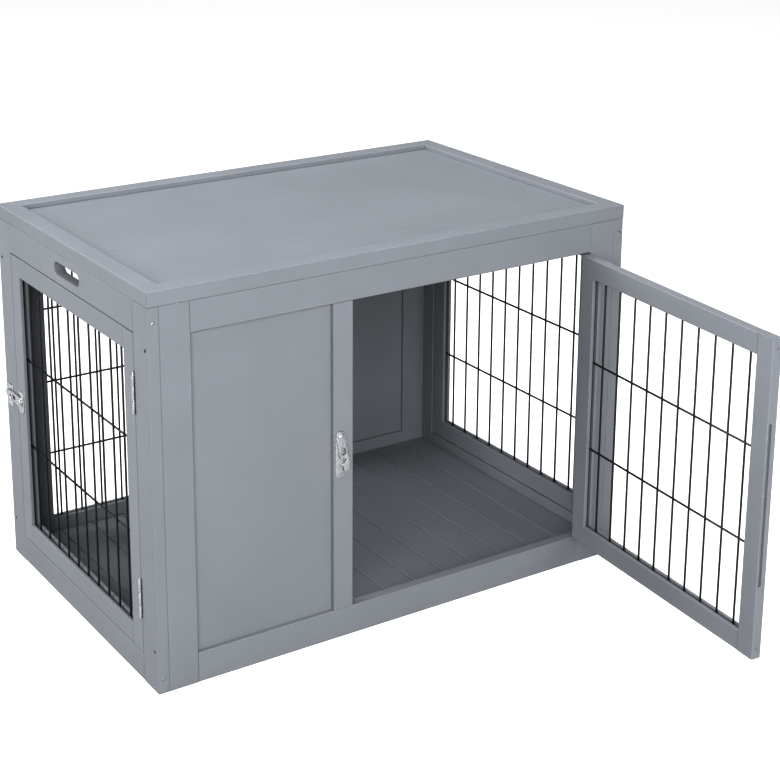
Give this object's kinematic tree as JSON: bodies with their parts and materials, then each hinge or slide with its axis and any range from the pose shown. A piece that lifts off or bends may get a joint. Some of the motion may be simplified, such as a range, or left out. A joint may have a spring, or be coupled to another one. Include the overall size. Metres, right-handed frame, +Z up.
{
  "type": "dog crate end table",
  "caption": "Grey wooden pet crate that is also an end table: framed wire doors on the front and both ends, slatted floor, solid panels and a recessed rimmed top.",
  "frame": {"origin": "on the floor, at the middle of the underside of the centre floor bearer, which is the plan centre of the crate body", "axes": "+Z up; +X along the length, from the left end to the right end; the front, with the open door, faces -Y"},
  "size_m": [0.8292, 0.9622, 0.59],
  "materials": {
    "grey_paint": "satin grey paint on wood",
    "floor_paint": "satin grey paint on wood",
    "black_wire": "satin black coated wire",
    "bright_zinc": "bright zinc plate",
    "dark_screw": "dark coated screw"
  },
  "bodies": {
    "crate": {"assembly_screws": "dark_screw", "back_bottom_rail": "grey_paint", "back_centre_stile": "grey_paint", "back_left_stile": "grey_paint", "back_mesh": "black_wire", "back_panel": "grey_paint", "back_right_stile": "grey_paint", "back_top_rail": "grey_paint", "floor_bearers": "floor_paint", "floor_slats": "floor_paint", "frame_hinge_leaves": "bright_zinc", "frame_screws": "bright_zinc", "front_bottom_rail": "grey_paint", "front_centre_stile": "grey_paint", "front_latch_plate": "bright_zinc", "front_left_stile": "grey_paint", "front_panel": "grey_paint", "front_right_stile": "grey_paint", "front_top_rail": "grey_paint", "hinge_pins": "bright_zinc", "left_end_bottom_rail": "grey_paint", "left_end_front_stile": "grey_paint", "left_end_rear_stile": "grey_paint", "left_end_top_rail": "grey_paint", "left_latch_keeper": "bright_zinc", "right_end_bottom_rail": "grey_paint", "right_end_front_stile": "grey_paint", "right_end_rear_stile": "grey_paint", "right_end_top_rail": "grey_paint", "right_latch_keeper": "bright_zinc", "top_front_rail": "grey_paint", "top_left_rail": "grey_paint", "top_panel": "grey_paint", "top_rear_rail": "grey_paint", "top_right_rail": "grey_paint"},
    "front_door": {"front_door_bottom_rail": "grey_paint", "front_door_hinge_leaves": "bright_zinc", "front_door_hinge_stile": "grey_paint", "front_door_latch_stile": "grey_paint", "front_door_mesh": "black_wire", "front_door_top_rail": "grey_paint", "front_latch_keeper": "bright_zinc"},
    "left_door": {"left_door_bottom_rail": "grey_paint", "left_door_hinge_leaves": "bright_zinc", "left_door_hinge_stile": "grey_paint", "left_door_latch_stile": "grey_paint", "left_door_mesh": "black_wire", "left_door_top_rail": "grey_paint", "left_latch_plate": "bright_zinc"},
    "right_door": {"right_door_bottom_rail": "grey_paint", "right_door_hinge_leaves": "bright_zinc", "right_door_hinge_stile": "grey_paint", "right_door_latch_stile": "grey_paint", "right_door_mesh": "black_wire", "right_door_top_rail": "grey_paint", "right_latch_plate": "bright_zinc"},
    "front_latch": {"front_latch_strap": "bright_zinc"},
    "left_latch": {"left_latch_strap": "bright_zinc"},
    "right_latch": {"right_latch_strap": "bright_zinc"}
  },
  "joints": [
    {"name": "front_door_hinge", "type": "hinge", "parent": "crate", "child": "front_door", "pos_m": [0.34625, -0.266, 0.2845], "axis": [0, 0, 1], "range_deg": [-85.5, 89.5]},
    {"name": "left_door_hinge", "type": "hinge", "parent": "crate", "child": "left_door", "pos_m": [-0.412, -0.21725, 0.282], "axis": [0, 0, 1], "range_deg": [0, 175]},
    {"name": "right_door_hinge", "type": "hinge", "parent": "crate", "child": "right_door", "pos_m": [0.412, 0.21725, 0.282], "axis": [0, 0, 1], "range_deg": [0, 175]},
    {"name": "front_latch_pivot", "type": "hinge", "parent": "crate", "child": "front_latch", "pos_m": [-0.111, -0.264, 0.3205], "axis": [0, -1, 0], "range_deg": [-30, 150]},
    {"name": "left_latch_pivot", "type": "hinge", "parent": "left_door", "child": "left_latch", "pos_m": [-0.41, 0.204, 0.28], "axis": [1, 0, 0], "range_deg": [-8, 110]},
    {"name": "right_latch_pivot", "type": "hinge", "parent": "right_door", "child": "right_latch", "pos_m": [0.41, -0.204, 0.28], "axis": [-1, 0, 0], "range_deg": [-8, 110]}
  ]
}
